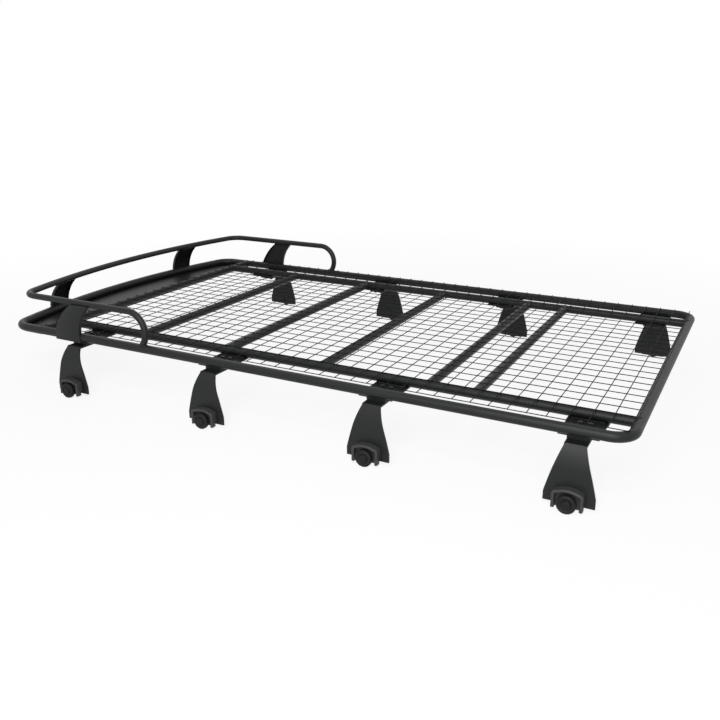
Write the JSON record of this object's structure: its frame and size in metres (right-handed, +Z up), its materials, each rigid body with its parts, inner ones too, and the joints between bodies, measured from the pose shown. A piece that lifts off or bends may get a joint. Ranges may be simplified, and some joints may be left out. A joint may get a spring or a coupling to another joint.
{
  "type": "roof rack",
  "caption": "Flat steel vehicle roof rack with a tube frame, wire mesh floor, bowed front, raised front guard rail and gutter clamp legs along both sides.",
  "frame": {"origin": "on the ground plane under the middle of the rack", "axes": "+X to the front of the vehicle, +Y to its left, +Z up"},
  "size_m": [2.178, 1.3624, 0.3219],
  "materials": {
    "black_powder_coat": "satin black powder coat on steel",
    "black_wire": "satin black powder coat on welded wire",
    "black_plastic": "moulded black plastic"
  },
  "bodies": {
    "root": {"clamp_jaw_left_1": "black_powder_coat", "clamp_jaw_left_2": "black_powder_coat", "clamp_jaw_left_3": "black_powder_coat", "clamp_jaw_left_4": "black_powder_coat", "clamp_jaw_right_1": "black_powder_coat", "clamp_jaw_right_2": "black_powder_coat", "clamp_jaw_right_3": "black_powder_coat", "clamp_jaw_right_4": "black_powder_coat", "clamp_knobs_left": "black_plastic", "clamp_knobs_right": "black_plastic", "crossbar_1": "black_powder_coat", "crossbar_2": "black_powder_coat", "crossbar_3": "black_powder_coat", "crossbar_4": "black_powder_coat", "crossbar_5": "black_powder_coat", "floor_mesh_front": "black_wire", "floor_mesh_middle": "black_wire", "floor_mesh_rear": "black_wire", "foot_brackets_left": "black_powder_coat", "foot_brackets_right": "black_powder_coat", "front_bow_tube": "black_powder_coat", "front_crossbar": "black_powder_coat", "front_floor_sheet": "black_powder_coat", "front_stanchion_left": "black_powder_coat", "front_stanchion_right": "black_powder_coat", "guard_rail_front": "black_powder_coat", "guard_rail_left": "black_powder_coat", "guard_rail_right": "black_powder_coat", "left_inner_rail": "black_powder_coat", "left_side_tube": "black_powder_coat", "leg_left_1": "black_powder_coat", "leg_left_2": "black_powder_coat", "leg_left_3": "black_powder_coat", "leg_left_4": "black_powder_coat", "leg_right_1": "black_powder_coat", "leg_right_2": "black_powder_coat", "leg_right_3": "black_powder_coat", "leg_right_4": "black_powder_coat", "rear_tube": "black_powder_coat", "right_inner_rail": "black_powder_coat", "right_side_tube": "black_powder_coat", "side_stanchion_left": "black_powder_coat", "side_stanchion_right": "black_powder_coat"}
  },
  "joints": []
}
